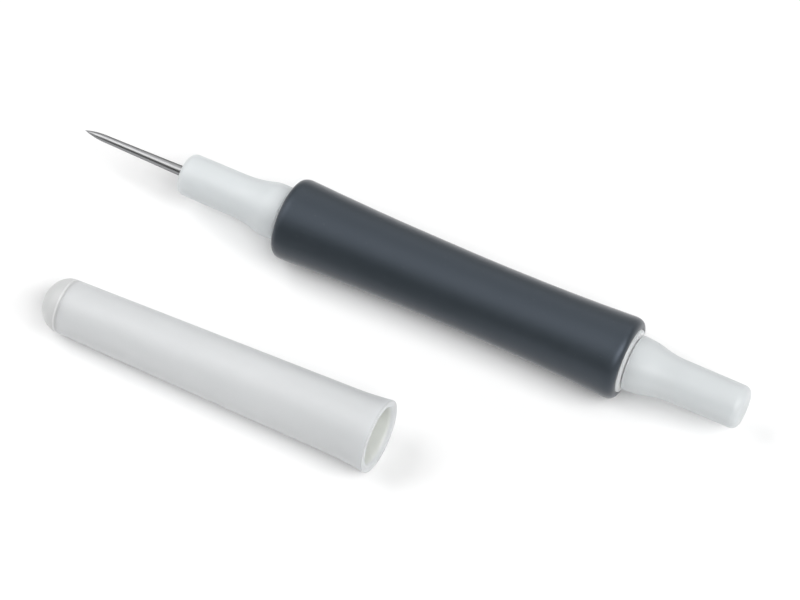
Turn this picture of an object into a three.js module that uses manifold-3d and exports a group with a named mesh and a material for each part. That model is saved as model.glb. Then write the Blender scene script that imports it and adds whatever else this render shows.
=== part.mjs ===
// Die pick: a tapered steel needle in a moulded handle with a soft waisted grip,
// lying on a surface with its long cap pulled off beside it.
// Units are millimetres, +Z is up, +X runs from the needle's point to the tail.
// The origin is the middle of the base of the space that the pick and its cap take up.

import * as THREE from 'three';
import { mergeVertices } from 'three/addons/utils/BufferGeometryUtils.js';
import Module from 'manifold-3d';

const wasm = await Module();
wasm.setup();

// Needle
const NEEDLE_EXPOSED = 23.8;
const NEEDLE_POINT_LENGTH = 6.0;
const NEEDLE_POINT_POWER = 2.5;
const NEEDLE_SHOULDER_DIAMETER = 1.6;
const NEEDLE_ROOT_DIAMETER = 2.2;
const NEEDLE_HELD_LENGTH = 16.0;
const NEEDLE_END_CHAMFER = 0.3;
const GRIP_GROOVE_COUNT = 4;
const GRIP_GROOVE_PITCH = 1.8;
const GRIP_GROOVE_WIDTH = 0.8;
const GRIP_GROOVE_DEPTH = 0.2;
const NEEDLE_CLEARANCE = 0.05;
const NEEDLE_BOTTOM_CLEARANCE = 0.3;

// Nose plug and tail plug: a drafted spigot, a flare and a land outside, a ribbed shank inside
const SPIGOT_END_DIAMETER = 9.04;
const SPIGOT_DIAMETER = 9.1;
const SPIGOT_EDGE_RADIUS = 1.6;
const LAND_DIAMETER = 11.6;
const LAND_BACK_RADIUS = 0.45;
const NOSE_STRAIGHT = 12.3;
const NOSE_FLARE = 8.5;
const NOSE_HOLLOW_SHARE = 0.8;
const NOSE_LAND = 2.65;
const TAIL_STRAIGHT = 14.5;
const TAIL_FLARE = 9.2;
const TAIL_HOLLOW_SHARE = 0.5;
const TAIL_LAND = 0.55;
const SHANK_DIAMETER = 9.2;
const SHANK_LENGTH = 14.0;
const SHANK_CHAMFER = 0.6;
const CORE_HOLE_DIAMETER = 5.2;
const CORE_HOLE_DRAFT = 0.4;
const NEEDLE_STOP_WALL = 4.0;
const TAIL_END_WALL = 3.0;
const PLUG_SEAT_CLEARANCE = 0.3;

// Crush ribs that hold each shank in the core tube
const RIB_COUNT = 6;
const RIB_WIDTH = 0.9;
const RIB_SETBACK = 0.5;
const RIB_LEAD = 1.2;
const RIB_ROOT_DEPTH = 0.3;
const SHANK_CLEARANCE = 0.3;
const RIB_CLEARANCE = 0.06;

// Core tube and grip sleeve
const CORE_TUBE_DIAMETER = 13.4;
const CORE_TUBE_STAND_OUT = 0.45;
const CORE_TUBE_EDGE_RADIUS = 0.3;
const SLEEVE_CLEARANCE = 0.1;
const GRIP_LENGTH = 77.0;
const GRIP_END_DIAMETER = 17.4;
const GRIP_WAIST_DIAMETER = 15.7;
const GRIP_WAIST_PLACE = 42.0;
const GRIP_WAIST_POWER = 2.06;
const GRIP_ROLL_LENGTH = 2.4;

// Cap: a drafted barrel that flares at its mouth, closed by a domed end plug
const CAP_BARREL_LENGTH = 70.6;
const CAP_SEAM_DIAMETER = 11.5;
const CAP_BODY_DIAMETER = 14.46;
const CAP_LIP_DIAMETER = 15.34;
const CAP_FLARE_LENGTH = 8.5;
const CAP_LIP_RADIUS = 0.4;
const CAP_MOUTH_BORE = 11.74;
const CAP_SEAM_BORE = 9.0;
const CAP_LEAD_IN_WIDTH = 0.8;
const CAP_LEAD_IN_DEPTH = 1.4;
const CAP_SEAM_EDGE = 0.12;
const CAP_SEAM_GAP = 0.25;
const DOME_HEIGHT = 4.95;
const DOME_SPIGOT_LENGTH = 5.0;
const DOME_SPIGOT_CLEARANCE = 0.15;
const DOME_SPIGOT_CHAMFER = 0.4;
const DOME_WALL = 1.3;

// Where the cap lies beside the pick: its axis at the mouth, and its turn about the upright
const CAP_AXIS_SPACING = 37.8;
const CAP_MOUTH_FROM_TAIL = 61.5;
const CAP_TURN = THREE.MathUtils.degToRad(0.25);

// Facets
const ROUND_SEGMENTS = 40;
const NEEDLE_SEGMENTS = 24;
const EDGE_STEPS = 3;
const ROLL_STEPS = 5;
const FLARE_STEPS = 8;
const WAIST_STEPS = 9;
const DOME_STEPS = 8;

// Sizes that follow from the ones above
const landRadius = LAND_DIAMETER / 2;
const shankRadius = SHANK_DIAMETER / 2;
const tubeRadius = CORE_TUBE_DIAMETER / 2;
const tubeBoreRadius = shankRadius + SHANK_CLEARANCE;
const sleeveBoreRadius = tubeRadius + SLEEVE_CLEARANCE;
const gripEndRadius = GRIP_END_DIAMETER / 2;
const gripWaistRadius = GRIP_WAIST_DIAMETER / 2;
const plugSetOut = CORE_TUBE_STAND_OUT + PLUG_SEAT_CLEARANCE;
const noseExposed = NOSE_STRAIGHT + NOSE_FLARE + NOSE_LAND + plugSetOut;
const tailExposed = TAIL_STRAIGHT + TAIL_FLARE + TAIL_LAND + plugSetOut;
const gripFront = NEEDLE_EXPOSED + noseExposed;
const gripBack = gripFront + GRIP_LENGTH;
const pickLength = gripBack + tailExposed;

/** An outline to be turned about an axis: u runs along the axis and r away from it. */
class Outline {
  constructor(u, r) {
    this.points = [];
    this.to(u, r);
  }

  /** Goes straight to a point. */
  to(u, r) {
    this.u = u;
    this.r = r;
    this.points.push(new THREE.Vector2(r, u));
    return this;
  }

  /** Turns a rounded corner that leaves radially and arrives along the axis. */
  roundFromFace(u, r, steps = EDGE_STEPS) {
    const [u0, r0] = [this.u, this.r];
    for (let step = 1; step <= steps; step += 1) {
      const angle = (Math.PI / 2) * (step / steps);
      this.to(u0 + (u - u0) * (1 - Math.cos(angle)), r0 + (r - r0) * Math.sin(angle));
    }
    return this;
  }

  /** Turns a rounded corner that leaves along the axis and arrives radially. */
  roundToFace(u, r, steps = EDGE_STEPS) {
    const [u0, r0] = [this.u, this.r];
    for (let step = 1; step <= steps; step += 1) {
      const angle = (Math.PI / 2) * (step / steps);
      this.to(u0 + (u - u0) * Math.sin(angle), r0 + (r - r0) * (1 - Math.cos(angle)));
    }
    return this;
  }

  /** Follows a curve: share runs over 0..1 along the axis, and curve(share) gives the radius. */
  follow(u, steps, curve) {
    const u0 = this.u;
    for (let step = 1; step <= steps; step += 1) {
      const share = step / steps;
      this.to(u0 + (u - u0) * share, curve(share));
    }
    return this;
  }

  /** Ends the outline where it began, for a piece that is open along its axis. */
  close() {
    this.points.push(this.points[0].clone());
    return this;
  }

  /** Turns the outline into a closed surface about +X, with u along +X. */
  turn(segments = ROUND_SEGMENTS) {
    return new THREE.LatheGeometry(this.points, segments).rotateZ(-Math.PI / 2);
  }
}

/** Merges a closed geometry's shared points and gives the solid for a join. */
function toSolid(geometry) {
  const bare = geometry.clone();
  bare.deleteAttribute('normal');
  bare.deleteAttribute('uv');
  const merged = mergeVertices(bare);
  const index = merged.index.array;
  const triangles = [];
  for (let i = 0; i < index.length; i += 3) {
    const [a, b, c] = [index[i], index[i + 1], index[i + 2]];
    if (a !== b && b !== c && c !== a) {
      triangles.push(a, b, c);
    }
  }
  const mesh = new wasm.Mesh({
    numProp: 3,
    vertProperties: new Float32Array(merged.attributes.position.array),
    triVerts: new Uint32Array(triangles),
  });
  return new wasm.Manifold(mesh);
}

/** Turns a solid back into a geometry with flat facets. */
function toGeometry(solid) {
  const mesh = solid.getMesh();
  const geometry = new THREE.BufferGeometry();
  geometry.setAttribute('position', new THREE.BufferAttribute(new Float32Array(mesh.vertProperties), 3));
  geometry.setIndex(new THREE.BufferAttribute(new Uint32Array(mesh.triVerts), 1));
  geometry.computeVertexNormals();
  return geometry;
}

/** The needle: a ground point, a slow taper, and a held root with ring grooves. */
function needleGeometry() {
  const shoulder = NEEDLE_SHOULDER_DIAMETER / 2;
  const root = NEEDLE_ROOT_DIAMETER / 2;
  const end = NEEDLE_EXPOSED + NEEDLE_HELD_LENGTH;
  const point = (share) => shoulder * (1 - (1 - share) ** NEEDLE_POINT_POWER);
  const outline = new Outline(0, 0)
    .follow(NEEDLE_POINT_LENGTH, FLARE_STEPS, point)
    .to(NEEDLE_EXPOSED, root);
  const firstGroove = end - GRIP_GROOVE_PITCH * GRIP_GROOVE_COUNT - NEEDLE_END_CHAMFER;
  for (let groove = 0; groove < GRIP_GROOVE_COUNT; groove += 1) {
    const middle = firstGroove + GRIP_GROOVE_PITCH * (groove + 0.5);
    outline
      .to(middle - GRIP_GROOVE_WIDTH / 2, root)
      .to(middle, root - GRIP_GROOVE_DEPTH)
      .to(middle + GRIP_GROOVE_WIDTH / 2, root);
  }
  outline
    .to(end - NEEDLE_END_CHAMFER, root)
    .to(end, root - NEEDLE_END_CHAMFER)
    .to(end, 0);
  return outline.turn(NEEDLE_SEGMENTS);
}

/** An ogee from 0 to 1: a hollow curve over the first share, a full curve over the rest. */
function ogee(share, hollowShare) {
  if (share < hollowShare) {
    return share ** 2 / hollowShare;
  }
  return 1 - (1 - share) ** 2 / (1 - hollowShare);
}

/**
 * Carries a plug's outline from its end face to the tip of its shank.
 * The end face lies at u = 0 and the shank runs towards +u.
 */
function plugOutside(outline, { straight, flare, land, hollowShare }) {
  const spigot = SPIGOT_DIAMETER / 2;
  const end = SPIGOT_END_DIAMETER / 2;
  const back = straight + flare + land;
  const flareRadius = (share) => spigot + (landRadius - spigot) * ogee(share, hollowShare);
  return outline
    .to(0, end - SPIGOT_EDGE_RADIUS)
    .roundFromFace(SPIGOT_EDGE_RADIUS, end)
    .to(straight, spigot)
    .follow(straight + flare, FLARE_STEPS, flareRadius)
    .to(back - LAND_BACK_RADIUS, landRadius)
    .roundToFace(back, landRadius - LAND_BACK_RADIUS)
    .to(back, shankRadius)
    .to(back + SHANK_LENGTH - SHANK_CHAMFER, shankRadius)
    .to(back + SHANK_LENGTH, shankRadius - SHANK_CHAMFER);
}

/** Carries a plug's outline from its shank's tip down the round hole cored into it. */
function plugCore(outline, coreEnd) {
  const mouth = CORE_HOLE_DIAMETER / 2;
  return outline
    .to(outline.u, mouth)
    .to(coreEnd, mouth - CORE_HOLE_DRAFT)
    .to(coreEnd, 0);
}

/** One crush rib: a low wedge along the shank that leads in at the shank's tip. */
function ribGeometry(back) {
  const top = tubeBoreRadius - RIB_CLEARANCE;
  const bottom = shankRadius - RIB_ROOT_DEPTH;
  const start = back + RIB_SETBACK;
  const tip = back + SHANK_LENGTH - SHANK_CHAMFER;
  const side = new THREE.Shape([
    new THREE.Vector2(start, bottom),
    new THREE.Vector2(tip, bottom),
    new THREE.Vector2(tip - RIB_LEAD, top),
    new THREE.Vector2(start, top),
  ]);
  const rib = new THREE.ExtrudeGeometry(side, { depth: RIB_WIDTH, bevelEnabled: false });
  return rib.translate(0, 0, -RIB_WIDTH / 2);
}

/** A whole plug: the turned body joined with its ring of crush ribs. */
function plugGeometry(outline, { straight, flare, land }) {
  let body = toSolid(outline.turn());
  const back = straight + flare + land;
  for (let rib = 0; rib < RIB_COUNT; rib += 1) {
    const angle = (2 * Math.PI * rib) / RIB_COUNT;
    body = body.add(toSolid(ribGeometry(back).rotateX(angle)));
  }
  return toGeometry(body);
}

/** The nose plug, with a blind hole in its end face for the needle. */
function nosePlugGeometry() {
  const shape = {
    straight: NOSE_STRAIGHT,
    flare: NOSE_FLARE,
    land: NOSE_LAND,
    hollowShare: NOSE_HOLLOW_SHARE,
  };
  const hole = NEEDLE_ROOT_DIAMETER / 2 + NEEDLE_CLEARANCE;
  const depth = NEEDLE_HELD_LENGTH + NEEDLE_BOTTOM_CLEARANCE;
  const outline = new Outline(depth, 0).to(depth, hole).to(0, hole);
  plugCore(plugOutside(outline, shape), depth + NEEDLE_STOP_WALL);
  return plugGeometry(outline, shape);
}

/** The tail plug, closed at its end face and cored from inside. */
function tailPlugGeometry() {
  const shape = {
    straight: TAIL_STRAIGHT,
    flare: TAIL_FLARE,
    land: TAIL_LAND,
    hollowShare: TAIL_HOLLOW_SHARE,
  };
  const outline = new Outline(0, 0);
  plugCore(plugOutside(outline, shape), TAIL_END_WALL);
  return plugGeometry(outline, shape);
}

/** The core tube, a little longer than the grip, with both rims rounded. */
function coreTubeGeometry() {
  const length = GRIP_LENGTH + 2 * CORE_TUBE_STAND_OUT;
  const edge = CORE_TUBE_EDGE_RADIUS;
  return new Outline(0, tubeBoreRadius)
    .to(0, tubeRadius - edge)
    .roundFromFace(edge, tubeRadius)
    .to(length - edge, tubeRadius)
    .roundToFace(length, tubeRadius - edge)
    .to(length, tubeBoreRadius)
    .close()
    .turn();
}

/** The grip sleeve: a soft tube with rolled ends and a long waist. */
function gripSleeveGeometry() {
  const rollEnd = GRIP_LENGTH - GRIP_ROLL_LENGTH;
  const rise = gripEndRadius - gripWaistRadius;
  const swell = (share) => gripWaistRadius + rise * share ** GRIP_WAIST_POWER;
  return new Outline(0, sleeveBoreRadius)
    .roundFromFace(GRIP_ROLL_LENGTH, gripEndRadius, ROLL_STEPS)
    .follow(GRIP_WAIST_PLACE, WAIST_STEPS, (share) => swell(1 - share))
    .follow(rollEnd, WAIST_STEPS, swell)
    .roundToFace(GRIP_LENGTH, sleeveBoreRadius, ROLL_STEPS)
    .close()
    .turn();
}

/** The cap's barrel: the seam end lies at u = 0 and the mouth at its full length. */
function capBarrelGeometry() {
  const seam = CAP_SEAM_DIAMETER / 2;
  const lip = CAP_LIP_DIAMETER / 2;
  const draft = (CAP_BODY_DIAMETER / 2 - seam) / CAP_BARREL_LENGTH;
  const flareStart = CAP_BARREL_LENGTH - CAP_FLARE_LENGTH;
  const lipStart = CAP_BARREL_LENGTH - CAP_LIP_RADIUS;
  const flareRadius = (share) => {
    const straight = seam + draft * (flareStart + share * CAP_FLARE_LENGTH);
    return straight + (lip - CAP_BODY_DIAMETER / 2) * share ** 2;
  };
  return new Outline(0, CAP_SEAM_BORE / 2)
    .to(0, seam - CAP_SEAM_EDGE)
    .to(CAP_SEAM_EDGE, seam)
    .to(flareStart, flareRadius(0))
    .follow(lipStart, FLARE_STEPS, flareRadius)
    .roundToFace(CAP_BARREL_LENGTH, lip - CAP_LIP_RADIUS)
    .to(CAP_BARREL_LENGTH, CAP_MOUTH_BORE / 2 + CAP_LEAD_IN_WIDTH)
    .roundFromFace(CAP_BARREL_LENGTH - CAP_LEAD_IN_DEPTH, CAP_MOUTH_BORE / 2)
    .close()
    .turn();
}

/** The cap's end: a dome outside, a hollow spigot that presses into the barrel. */
function capEndGeometry() {
  const seam = CAP_SEAM_DIAMETER / 2;
  const spigot = CAP_SEAM_BORE / 2 - DOME_SPIGOT_CLEARANCE;
  const tip = DOME_HEIGHT + CAP_SEAM_GAP + DOME_SPIGOT_LENGTH;
  const hollow = spigot - DOME_WALL;
  const rim = seam - CAP_SEAM_EDGE;
  return new Outline(0, 0)
    .roundFromFace(DOME_HEIGHT - CAP_SEAM_EDGE, seam, DOME_STEPS)
    .to(DOME_HEIGHT, rim)
    .to(DOME_HEIGHT, spigot)
    .to(tip - DOME_SPIGOT_CHAMFER, spigot)
    .to(tip, spigot - DOME_SPIGOT_CHAMFER)
    .to(tip, hollow)
    .to(DOME_WALL + hollow, hollow)
    .roundToFace(DOME_WALL, 0, FLARE_STEPS)
    .turn();
}

/** A material with the colour, roughness and metalness of one finish. */
function finish(color, roughness, metalness = 0) {
  return new THREE.MeshStandardMaterial({ color, roughness, metalness });
}

const steel = finish(0xa9acaf, 0.28, 1);
const cloudyPlastic = finish(0xd0d8dc, 0.42);
const whitePlastic = finish(0xececea, 0.45);
const slateRubber = finish(0x3c434d, 0.62);
const capPlastic = finish(0xdadddd, 0.4);
const domePlastic = finish(0xd2d6d7, 0.4);

/** A named piece of the object. */
function piece(name, geometry, material) {
  const mesh = new THREE.Mesh(geometry, material);
  mesh.name = name;
  return mesh;
}

/** The pick: every piece on one level axis, at the height of the grip's thick ends. */
function pickGroup() {
  const needle = piece('needle', needleGeometry(), steel);
  const nosePlug = piece('nose_plug', nosePlugGeometry(), cloudyPlastic);
  const tailPlug = piece('tail_plug', tailPlugGeometry(), cloudyPlastic);
  const coreTube = piece('core_tube', coreTubeGeometry(), whitePlastic);
  const gripSleeve = piece('grip_sleeve', gripSleeveGeometry(), slateRubber);
  nosePlug.position.x = NEEDLE_EXPOSED;
  tailPlug.position.x = pickLength;
  tailPlug.rotation.z = Math.PI;
  coreTube.position.x = gripFront - CORE_TUBE_STAND_OUT;
  gripSleeve.position.x = gripFront;
  const group = new THREE.Group();
  group.add(needle, nosePlug, coreTube, tailPlug, gripSleeve);
  return group;
}

/** The cap: its barrel and end on one axis, from the seam at x = 0 to the mouth. */
function capGroup() {
  const barrel = piece('cap_barrel', capBarrelGeometry(), capPlastic);
  const end = piece('cap_end', capEndGeometry(), domePlastic);
  end.position.x = -DOME_HEIGHT - CAP_SEAM_GAP;
  const group = new THREE.Group();
  group.add(barrel, end);
  return group;
}

/** Lays the cap on its lip and its dome's rim, with the middle of its mouth at x and y. */
function layCap(cap, mouthX, mouthY) {
  const seamTouch = { u: -CAP_SEAM_GAP - CAP_SEAM_EDGE, r: CAP_SEAM_DIAMETER / 2 };
  const lipTouch = { u: CAP_BARREL_LENGTH - CAP_LIP_RADIUS, r: CAP_LIP_DIAMETER / 2 };
  const tilt = Math.atan2(lipTouch.r - seamTouch.r, lipTouch.u - seamTouch.u);
  const level = CAP_BARREL_LENGTH * Math.cos(tilt);
  cap.rotation.set(0, -tilt, CAP_TURN, 'ZYX');
  cap.position.x = mouthX - level * Math.cos(CAP_TURN);
  cap.position.y = mouthY - level * Math.sin(CAP_TURN);
  cap.position.z = seamTouch.r * Math.cos(tilt) - seamTouch.u * Math.sin(tilt);
}

const pick = pickGroup();
const cap = capGroup();
const sideBySide = (CAP_AXIS_SPACING + CAP_LIP_DIAMETER / 2 - gripEndRadius) / 2;
pick.position.set(-pickLength / 2, sideBySide, gripEndRadius);
layCap(cap, pickLength / 2 - CAP_MOUTH_FROM_TAIL, sideBySide - CAP_AXIS_SPACING);

const diePick = new THREE.Group();
diePick.add(pick, cap);

export default diePick;
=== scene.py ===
"""Die pick with its cap lying pulled off beside it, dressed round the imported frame.

Every visible piece is a turned form. Each class holds its sizes in millimetres, the
same as the solids have, and turns a fine outline about its axis in the frame's place.
"""

import logging
import math
from collections.abc import Callable
from dataclasses import dataclass, field
from enum import Enum

import bpy
import numpy as np
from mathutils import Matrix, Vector


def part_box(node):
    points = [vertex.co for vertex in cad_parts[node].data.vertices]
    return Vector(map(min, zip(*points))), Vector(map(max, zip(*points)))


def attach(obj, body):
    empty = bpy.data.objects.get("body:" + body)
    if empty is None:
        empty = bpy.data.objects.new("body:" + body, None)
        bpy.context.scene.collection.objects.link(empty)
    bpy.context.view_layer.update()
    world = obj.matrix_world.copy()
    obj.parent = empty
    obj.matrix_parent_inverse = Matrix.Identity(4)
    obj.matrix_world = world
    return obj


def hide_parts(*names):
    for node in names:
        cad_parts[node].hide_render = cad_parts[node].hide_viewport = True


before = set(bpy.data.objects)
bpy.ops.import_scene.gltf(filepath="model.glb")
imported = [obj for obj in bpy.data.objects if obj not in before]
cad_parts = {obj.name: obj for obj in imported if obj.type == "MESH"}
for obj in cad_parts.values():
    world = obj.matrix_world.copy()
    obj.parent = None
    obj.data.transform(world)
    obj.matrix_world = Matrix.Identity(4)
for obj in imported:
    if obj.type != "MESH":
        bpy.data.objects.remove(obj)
bpy.context.view_layer.update()

LOG = logging.getLogger("die_pick")

MM = 0.001
TURN = 2.0 * math.pi
IMAGE_WIDTH = 800
PICK_BODY = "pick"
CAP_BODY = "cap"
ALONG = "along_mm"
AWAY = "away_mm"

Pair = tuple[float, float]
Triple = tuple[float, float, float]
Colour = Triple
Relief = Callable[[np.ndarray, np.ndarray, np.ndarray], np.ndarray]


def smoothstep(value: np.ndarray, low: float, high: float) -> np.ndarray:
    """Eases from 0 at low to 1 at high.

    Args:
        value: The numbers to ease.
        low: Where the result leaves 0.
        high: Where the result reaches 1.

    Returns:
        3t squared less 2t cubed, where t is the clipped share of the way from low to high.
    """
    share = np.clip((value - low) / (high - low), 0.0, 1.0)
    return share * share * (3.0 - 2.0 * share)


def bearing(azimuth: float, elevation: float) -> Vector:
    """The direction in which a lamp or camera stands from the object.

    Args:
        azimuth: Degrees round the object: 0 is the -Y side and 90 the +X side.
        elevation: Degrees above the floor.

    Returns:
        The direction, of length 1.
    """
    a, e = math.radians(azimuth), math.radians(elevation)
    return Vector((math.sin(a) * math.cos(e), -math.cos(a) * math.cos(e), math.sin(e)))


class Outline:
    """The outline of a turned piece: u runs along its axis and r away from it, in mm."""

    SUPPORT = 0.05

    def __init__(self, u: float, r: float, stride: float = 0.8) -> None:
        """Starts an outline at one point.

        Args:
            u: Distance along the axis.
            r: Distance from the axis.
            stride: Longest step along a straight side.
        """
        self._parts = [np.array([[u, r]])]
        self._stride = stride

    @property
    def end(self) -> np.ndarray:
        """The point that the outline has reached."""
        return self._parts[-1][-1]

    def to(self, u: float, r: float) -> "Outline":
        """Goes straight to a point, with a close ring beside each end so that shading stays crisp.

        Args:
            u: Distance along the axis.
            r: Distance from the axis.

        Returns:
            The outline itself.
        """
        start = self.end.copy()
        length = float(np.hypot(u - start[0], r - start[1]))
        edge = min(self.SUPPORT / length, 0.25)
        steps = max(1, math.ceil(length * (1.0 - 2.0 * edge) / self._stride))
        shares = np.concatenate([np.linspace(edge, 1.0 - edge, steps + 1), [1.0]])
        self._parts.append(start + shares[:, None] * (np.array([u, r]) - start))
        return self

    @staticmethod
    def _quarter(steps: int, power: float) -> tuple[np.ndarray, np.ndarray]:
        """The two coordinates of a quarter ellipse as shares of the way: the prompt one and the slow."""
        angle = np.linspace(0.0, math.pi / 2.0, steps + 1)[1:]
        return np.sin(angle) ** (2.0 / power), 1.0 - np.cos(angle) ** (2.0 / power)

    def round_from_face(self, u: float, r: float, steps: int = 10, power: float = 2.0) -> "Outline":
        """Turns a quarter ellipse that leaves radially and arrives along the axis.

        Args:
            u: Distance along the axis.
            r: Distance from the axis.
            steps: Steps round the corner.
            power: How square the corner is: 2 for a true ellipse, more for a fuller corner.

        Returns:
            The outline itself.
        """
        start = self.end.copy()
        prompt, slow = self._quarter(steps, power)
        self._parts.append(start + np.stack([slow, prompt], axis=1) * (np.array([u, r]) - start))
        return self

    def round_to_face(self, u: float, r: float, steps: int = 10, power: float = 2.0) -> "Outline":
        """Turns a quarter ellipse that leaves along the axis and arrives radially.

        Args:
            u: Distance along the axis.
            r: Distance from the axis.
            steps: Steps round the corner.
            power: How square the corner is: 2 for a true ellipse, more for a fuller corner.

        Returns:
            The outline itself.
        """
        start = self.end.copy()
        prompt, slow = self._quarter(steps, power)
        self._parts.append(start + np.stack([prompt, slow], axis=1) * (np.array([u, r]) - start))
        return self

    def follow(self, u: float, steps: int, curve: Callable[[np.ndarray], np.ndarray]) -> "Outline":
        """Follows a curve of the radius over a share that runs evenly from 0 to 1 along the axis.

        Args:
            u: Where the curve ends along the axis.
            steps: Steps along it.
            curve: The radius for an array of shares.

        Returns:
            The outline itself.
        """
        start = self.end.copy()
        share = np.linspace(0.0, 1.0, steps + 1)[1:]
        self._parts.append(np.stack([start[0] + (u - start[0]) * share, curve(share)], axis=1))
        return self

    def points(self) -> np.ndarray:
        """The outline's points in order, one row each for u and r."""
        return np.concatenate(self._parts)


@dataclass(frozen=True)
class Axis:
    """Where a turned piece's axis lies: its u = 0 point in mm, its tilt upwards and its turn."""

    x: float
    y: float
    z: float
    tilt: float = 0.0
    turn: float = 0.0
    reverse: bool = False

    @property
    def along(self) -> Vector:
        """The axis's own direction."""
        level = math.cos(self.tilt)
        return Vector((level * math.cos(self.turn), level * math.sin(self.turn), math.sin(self.tilt)))

    def moved(self, u: float) -> "Axis":
        """The same axis, with u = 0 further along it."""
        x, y, z = Vector((self.x, self.y, self.z)) + self.along * u
        return Axis(x, y, z, self.tilt, self.turn, self.reverse)

    def place(self, u: np.ndarray, across: np.ndarray, up: np.ndarray) -> np.ndarray:
        """Carries points from the axis's own directions into the frame.

        Args:
            u: Distances along the axis, in mm.
            across: Distances sideways, towards +Y.
            up: Distances upwards, square to the axis.

        Returns:
            One row of x, y, z in metres for each point.
        """
        way = -1.0 if self.reverse else 1.0
        along = np.array(self.along)
        side = np.array([-math.sin(self.turn), math.cos(self.turn), 0.0])
        upright = np.cross(along, side)
        start = np.array([self.x, self.y, self.z])
        shares = (way * u[..., None] * along, way * across[..., None] * side, up[..., None] * upright)
        return (start + sum(shares)).reshape(-1, 3) * MM


def put_mesh(
    name: str, points: np.ndarray, corners: np.ndarray, counts: np.ndarray
) -> bpy.types.Object:
    """Makes a smooth mesh object from whole arrays.

    Args:
        name: The piece's name.
        points: One row of x, y, z for each vertex, in metres.
        corners: The vertex of every face corner, face after face.
        counts: How many corners each face has.

    Returns:
        The object, linked to the scene.
    """
    mesh = bpy.data.meshes.new(name)
    mesh.vertices.add(len(points))
    mesh.vertices.foreach_set("co", points.astype(np.float32).ravel())
    mesh.loops.add(len(corners))
    mesh.loops.foreach_set("vertex_index", corners.astype(np.int32))
    mesh.polygons.add(len(counts))
    starts = np.concatenate([[0], np.cumsum(counts)[:-1]])
    mesh.polygons.foreach_set("loop_start", starts.astype(np.int32))
    mesh.polygons.foreach_set("use_smooth", np.ones(len(counts), dtype=bool))
    mesh.update(calc_edges=True)
    mesh.validate()
    made = bpy.data.objects.new(name, mesh)
    bpy.context.scene.collection.objects.link(made)
    return made


def turn(
    name: str, outline: Outline, axis: Axis, segments: int = 144, relief: Relief | None = None
) -> bpy.types.Object:
    """Turns an outline about its axis into one closed surface.

    A point is the axis's place at u, plus r + relief(u, r, angle) times the direction at
    that angle. An outline that starts and ends on the axis closes in two poles. One that ends
    where it began closes on itself as a tube. Each vertex keeps u and its radius as the
    attributes along_mm and away_mm, which the finishes read.

    Args:
        name: The piece's name.
        outline: The outline, its faces outwards when it runs towards larger u outside.
        axis: Where the axis lies.
        segments: Steps round the axis.
        relief: What to add to the radius, from columns of u and r and a row of angles.

    Returns:
        The object.
    """
    points = outline.points()
    looped = bool(np.allclose(points[0], points[-1]))
    if looped:
        points = points[:-1]
    angles = np.arange(segments) * (TURN / segments)
    u, r = points[:, :1], points[:, 1:]
    swollen = r + (relief(u, r, angles[None, :]) if relief else 0.0 * angles[None, :])
    along = np.broadcast_to(u, swollen.shape)
    vertices = axis.place(along, swollen * np.cos(angles), swollen * np.sin(angles))
    rings = len(points)
    index = np.arange(rings * segments).reshape(rings, segments)
    if looped:
        low, high = index, np.roll(index, -1, axis=0)
    else:
        low, high = index[:-1], index[1:]
    beside = np.roll(low, -1, axis=1), np.roll(high, -1, axis=1)
    quads = np.stack([low, beside[0], beside[1], high], axis=-1).reshape(-1, 4)
    keep = np.ones(rings * segments, bool)
    if looped:
        corners = quads.ravel()
        counts = np.full(len(quads), 4)
    else:
        start = np.stack([np.zeros(segments, int), beside[1][0], high[0]], axis=-1)
        finish = np.stack([low[-1], beside[0][-1], np.full(segments, index[-1, 0])], axis=-1)
        quads = quads[segments:-segments]
        corners = np.concatenate([start.ravel(), quads.ravel(), finish.ravel()])
        counts = np.concatenate([np.full(segments, 3), np.full(len(quads), 4), np.full(segments, 3)])
        keep[1:segments] = False
        keep[index[-1, 0] + 1:] = False
        corners = (np.cumsum(keep) - 1)[corners]
    made = put_mesh(name, vertices[keep], corners, counts)
    for label, values in ((ALONG, along), (AWAY, swollen)):
        layer = made.data.attributes.new(label, "FLOAT", "POINT")
        layer.data.foreach_set("value", values.ravel()[keep].astype(np.float32))
    return made


class Wire:
    """A shader socket that joins in Python maths: each operator adds a Math node."""

    def __init__(self, graph: "Graph", socket: bpy.types.NodeSocket) -> None:
        """Wraps one output socket of a graph's node."""
        self.graph = graph
        self.socket = socket

    def _with(self, operation: str, *values: "Wire | float", clamp: bool = False) -> "Wire":
        """Adds a Math node of this operation over the values."""
        settings = {"operation": operation, "use_clamp": clamp}
        return self.graph.node("ShaderNodeMath", settings, dict(enumerate(values)))

    def __add__(self, other: "Wire | float") -> "Wire":
        """This plus other."""
        return self._with("ADD", self, other)

    def __sub__(self, other: "Wire | float") -> "Wire":
        """This less other."""
        return self._with("SUBTRACT", self, other)

    def __rsub__(self, other: "Wire | float") -> "Wire":
        """Other less this."""
        return self._with("SUBTRACT", other, self)

    def __mul__(self, other: "Wire | float") -> "Wire":
        """This times other."""
        return self._with("MULTIPLY", self, other)

    __radd__ = __add__
    __rmul__ = __mul__

    def clamped(self) -> "Wire":
        """This held between 0 and 1."""
        return self._with("ADD", self, 0.0, clamp=True)

    def ease(self, low: float, high: float) -> "Wire":
        """A smooth step over this.

        Args:
            low: Where the result is 0.
            high: Where it is 1, below low for a step that falls.

        Returns:
            The step, level beyond both ends.
        """
        if low > high:
            return 1.0 - self.ease(high, low)
        inputs = {"Value": self, "From Min": low, "From Max": high}
        return self.graph.node("ShaderNodeMapRange", {"interpolation_type": "SMOOTHSTEP"}, inputs)


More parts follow.
